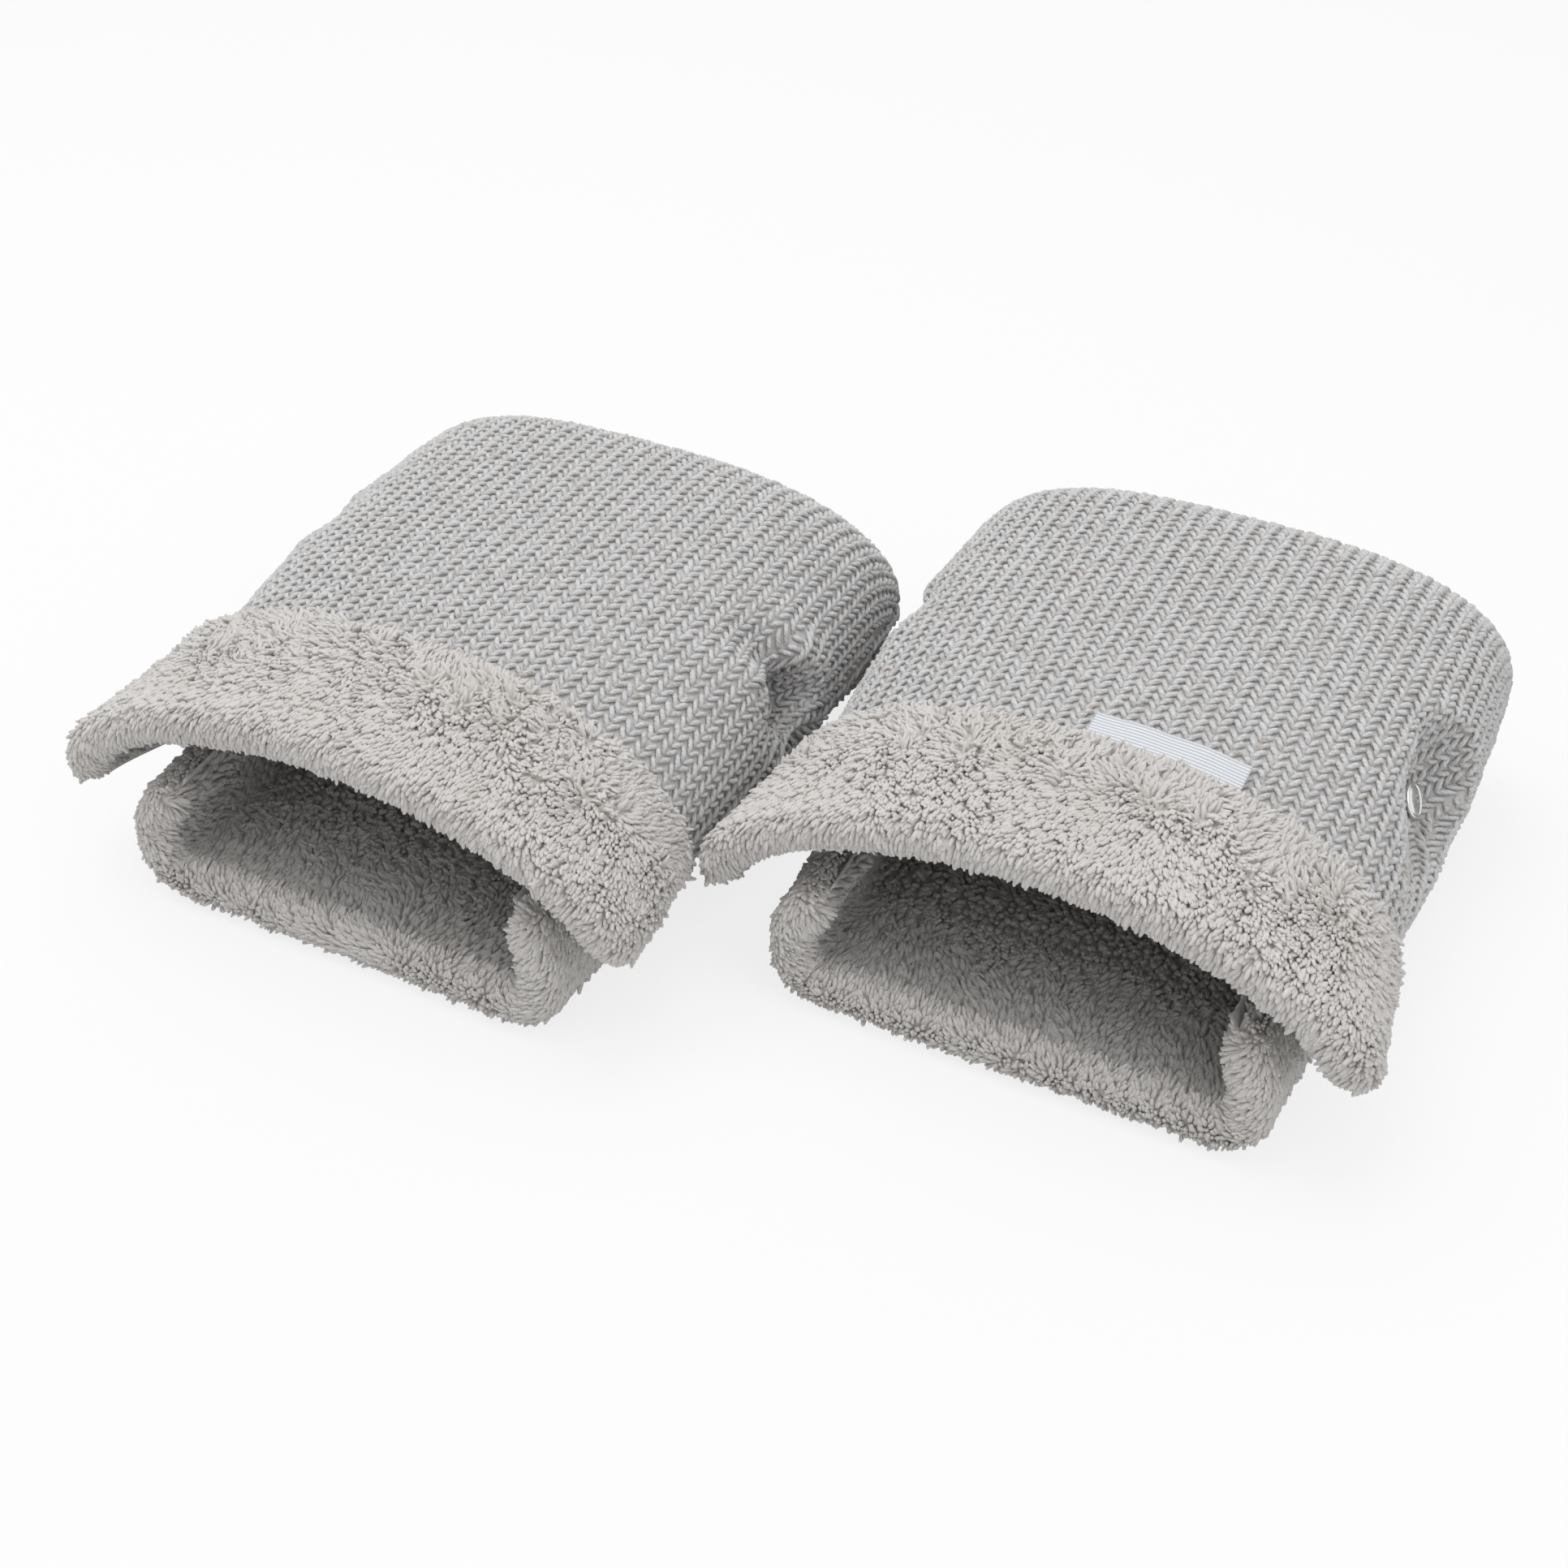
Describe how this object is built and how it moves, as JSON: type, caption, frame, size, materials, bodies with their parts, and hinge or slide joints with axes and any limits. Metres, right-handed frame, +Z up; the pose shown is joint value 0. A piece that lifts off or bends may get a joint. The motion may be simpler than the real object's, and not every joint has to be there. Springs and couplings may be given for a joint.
{
  "type": "stroller hand muff",
  "caption": "Knitted hand muffs for a pram handlebar, lined and cuffed with teddy fleece, folded at the back and closed at each side by a press stud in a dimple.",
  "frame": {"origin": "on the resting surface, under the middle of the pair", "axes": "+X across the pair, +Y from the mouths to the folds, +Z up"},
  "size_m": [0.5198, 0.34, 0.1182],
  "materials": {
    "knit": "matte rib knit",
    "fleece": "teddy plush",
    "snap": "bright",
    "label": "woven tape"
  },
  "bodies": {
    "left_base": {"left_knit_base": "knit", "left_lining_base": "fleece", "left_cuff_base": "fleece", "left_snap_stud_left": "snap", "left_snap_stud_right": "snap", "left_snap_back_left": "snap", "left_snap_back_right": "snap"},
    "left_top": {"left_knit_top": "knit", "left_lining_top": "fleece", "left_cuff_top": "fleece"},
    "left_pull_left": {"left_knit_pinch_left": "knit", "left_snap_cap_left": "snap", "left_snap_socket_left": "snap"},
    "left_pull_right": {"left_knit_pinch_right": "knit", "left_snap_cap_right": "snap", "left_snap_socket_right": "snap"},
    "right_base": {"right_knit_base": "knit", "right_lining_base": "fleece", "right_cuff_base": "fleece", "right_snap_stud_left": "snap", "right_snap_stud_right": "snap", "right_snap_back_left": "snap", "right_snap_back_right": "snap"},
    "right_top": {"right_knit_top": "knit", "right_lining_top": "fleece", "right_cuff_top": "fleece", "right_label": "label"},
    "right_pull_left": {"right_knit_pinch_left": "knit", "right_snap_cap_left": "snap", "right_snap_socket_left": "snap"},
    "right_pull_right": {"right_knit_pinch_right": "knit", "right_snap_cap_right": "snap", "right_snap_socket_right": "snap"}
  },
  "joints": [
    {"name": "left_fold", "type": "hinge", "parent": "left_base", "child": "left_top", "pos_m": [-0.1275, 0.108, 0.042], "axis": [-1, 0, 0], "range_deg": [0, 145]},
    {"name": "left_snap_left", "type": "slide", "parent": "left_top", "child": "left_pull_left", "axis": [-0.8988, 0, 0.4384], "range_m": [0, 0.008]},
    {"name": "left_snap_right", "type": "slide", "parent": "left_top", "child": "left_pull_right", "axis": [0.8988, 0, 0.4384], "range_m": [0, 0.008]},
    {"name": "right_fold", "type": "hinge", "parent": "right_base", "child": "right_top", "pos_m": [0.1275, 0.17, 0.042], "axis": [-1, 0, 0], "range_deg": [0, 145]},
    {"name": "right_snap_left", "type": "slide", "parent": "right_top", "child": "right_pull_left", "axis": [-0.8988, 0, 0.4384], "range_m": [0, 0.008]},
    {"name": "right_snap_right", "type": "slide", "parent": "right_top", "child": "right_pull_right", "axis": [0.8988, 0, 0.4384], "range_m": [0, 0.008]},
    {"name": "pair_slide", "type": "slide", "parent": "left_base", "child": "right_base", "axis": [1, 0, 0], "range_m": [0, 0.15]}
  ]
}
